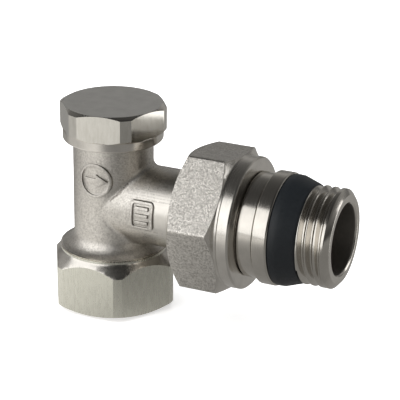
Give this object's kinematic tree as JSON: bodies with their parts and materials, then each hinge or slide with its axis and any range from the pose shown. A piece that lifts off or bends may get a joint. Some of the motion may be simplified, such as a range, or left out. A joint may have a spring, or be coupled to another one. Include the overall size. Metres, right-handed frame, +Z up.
{
  "type": "angle lockshield radiator valve",
  "caption": "Angle radiator valve in nickel-plated brass with screw-down disc, hexagon protective cap, union nut and threaded tail with a rubber ring.",
  "frame": {"origin": "centre of the inlet mouth, in the bottom face of the hexagon", "axes": "+Z up along the spindle axis, +X along the union axis towards the radiator, raised marks on the -Y side"},
  "size_m": [0.0669, 0.0324, 0.0454],
  "materials": {
    "body_nickel": "nickel plated, blasted forging with machined chamfers",
    "cap_nickel": "nickel plated, satin turned",
    "nut_nickel": "nickel plated, coarse blasted flats, polished chamfer",
    "tail_nickel": "nickel plated, bright turned",
    "headwork_brass": "plain turned brass",
    "spindle_brass": "plain turned brass",
    "stainless": "stainless, bright",
    "ptfe": "white PTFE",
    "fibre": "red fibre washer",
    "epdm": "black EPDM, moulded",
    "gasket_rubber": "black rubber, smooth"
  },
  "bodies": {
    "valve": {"valve_body": "body_nickel", "bonnet": "headwork_brass", "bonnet_oring": "epdm", "spindle_oring_lower": "epdm", "spindle_oring_upper": "epdm", "stop_washer": "ptfe", "circlip": "stainless"},
    "cap_seal": {"cap_gasket": "fibre"},
    "cap": {"protective_cap": "cap_nickel"},
    "disc": {"disc_holder": "spindle_brass", "swivel_clip": "stainless", "seat_washer": "epdm", "washer_retainer": "stainless", "retainer_screw": "stainless"},
    "spindle": {"regulating_spindle": "spindle_brass"},
    "tail": {"union_tail": "tail_nickel", "tail_oring": "epdm", "tail_split_ring": "stainless", "tail_gasket": "gasket_rubber"},
    "nut": {"union_nut": "nut_nickel"}
  },
  "joints": [
    {"name": "cap_lift", "type": "slide", "parent": "valve", "child": "cap_seal", "axis": [0, 0, 1], "range_m": [0, 0.006]},
    {"name": "cap_turn", "type": "hinge", "parent": "cap_seal", "child": "cap", "pos_m": [0, 0, 0.0413], "axis": [0, 0, 1], "range_deg": [0, 2160]},
    {"name": "disc_lift", "type": "slide", "parent": "valve", "child": "disc", "axis": [0, 0, 1], "range_m": [0, 0.003]},
    {"name": "spindle_turn", "type": "hinge", "parent": "disc", "child": "spindle", "pos_m": [0, 0, 0.0307], "axis": [0, 0, 1], "range_deg": [0, 1080]},
    {"name": "tail_withdraw", "type": "slide", "parent": "valve", "child": "tail", "axis": [1, 0, 0], "range_m": [0, 0.009]},
    {"name": "nut_turn", "type": "hinge", "parent": "tail", "child": "nut", "pos_m": [0.0264, 0, 0.0235], "axis": [1, 0, 0], "range_deg": [0, 2160]}
  ],
  "couplings": [
    {"joint": "cap_lift", "follows": "cap_turn", "m_per_rad": 0.00015915},
    {"joint": "disc_lift", "follows": "spindle_turn", "m_per_rad": 0.00015915},
    {"joint": "tail_withdraw", "follows": "nut_turn", "m_per_rad": 0.00023873}
  ]
}
